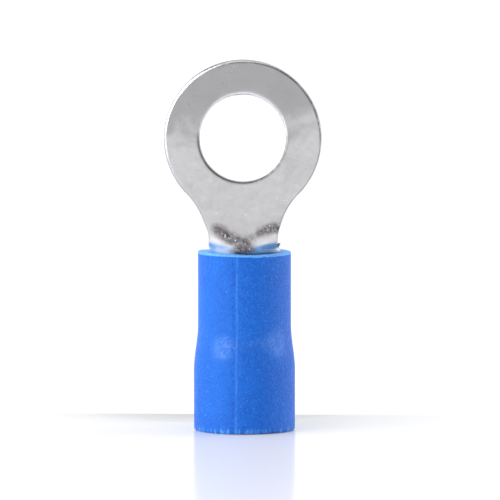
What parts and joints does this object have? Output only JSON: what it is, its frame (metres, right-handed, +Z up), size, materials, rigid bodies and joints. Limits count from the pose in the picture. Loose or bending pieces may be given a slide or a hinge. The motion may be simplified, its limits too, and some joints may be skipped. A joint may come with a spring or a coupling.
{
  "type": "ring terminal",
  "caption": "Insulated crimp ring terminal: flat tinned ring and neck, rolled wire barrel, and a blue vinyl sleeve that widens for the insulation of the wire.",
  "frame": {"origin": "middle of the sleeve's wire end, on the barrel axis", "axes": "+Z up the barrel axis to the ring, +X across the width of the ring, -Y out of the flush face of the ring"},
  "size_m": [0.0096, 0.0062, 0.0228],
  "materials": {
    "tinned_copper": "satin tin plate on rolled copper sheet",
    "blue_vinyl": "soft satin vinyl with a fine extruded grain"
  },
  "bodies": {
    "root": {"ring_terminal": "tinned_copper", "insulating_sleeve": "blue_vinyl"}
  },
  "joints": []
}
